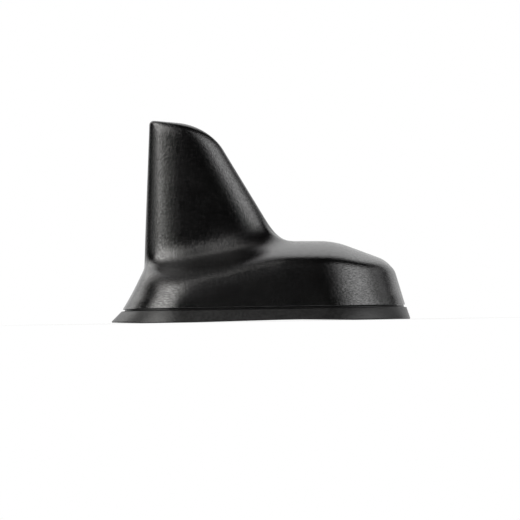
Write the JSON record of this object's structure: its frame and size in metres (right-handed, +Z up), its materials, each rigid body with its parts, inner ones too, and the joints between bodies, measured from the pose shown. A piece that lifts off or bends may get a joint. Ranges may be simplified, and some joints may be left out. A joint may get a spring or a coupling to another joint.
{
  "type": "shark fin roof aerial",
  "caption": "Black shark fin roof aerial: a moulded fin on a rounded hood, over a flared rubber gasket and a cast base with a threaded fixing hole and a lead outlet.",
  "frame": {"origin": "on the fixing bolt's axis, in the plane where the free gasket meets the roof, which is the middle of the box's underside", "axes": "+X to the front of the car, +Y to its left, +Z up"},
  "size_m": [0.112, 0.062, 0.0754],
  "materials": {
    "cover_plastic": "satin black with a fine moulded grain",
    "gasket_rubber": "matt",
    "base_casting": "black coat on a zinc alloy casting",
    "seal_rubber": "matt",
    "screw_steel": "zinc plated",
    "vent_membrane": "matt",
    "board_laminate": "solder mask",
    "adhesive_pad": "matt",
    "ceramic": "fired ceramic",
    "silver_print": "fired silver",
    "tinned_metal": "tinned",
    "chip_resin": "moulded",
    "copper_print": "printed copper"
  },
  "bodies": {
    "root": {"fin_cover": "cover_plastic", "roof_gasket": "gasket_rubber", "base_plate": "base_casting", "cover_seal": "seal_rubber", "cover_screws": "screw_steel", "threaded_bush": "screw_steel", "lead_grommet": "seal_rubber", "vent_film": "vent_membrane", "main_board": "board_laminate", "board_screws": "screw_steel", "patch_pad": "adhesive_pad", "patch_ceramic": "ceramic", "patch_face": "silver_print", "feed_pin": "tinned_metal", "shield_frame": "tinned_metal", "shield_lid": "tinned_metal", "amplifier_chip": "chip_resin", "chip_parts": "chip_resin", "fin_board": "board_laminate", "fin_trace": "copper_print"}
  },
  "joints": []
}
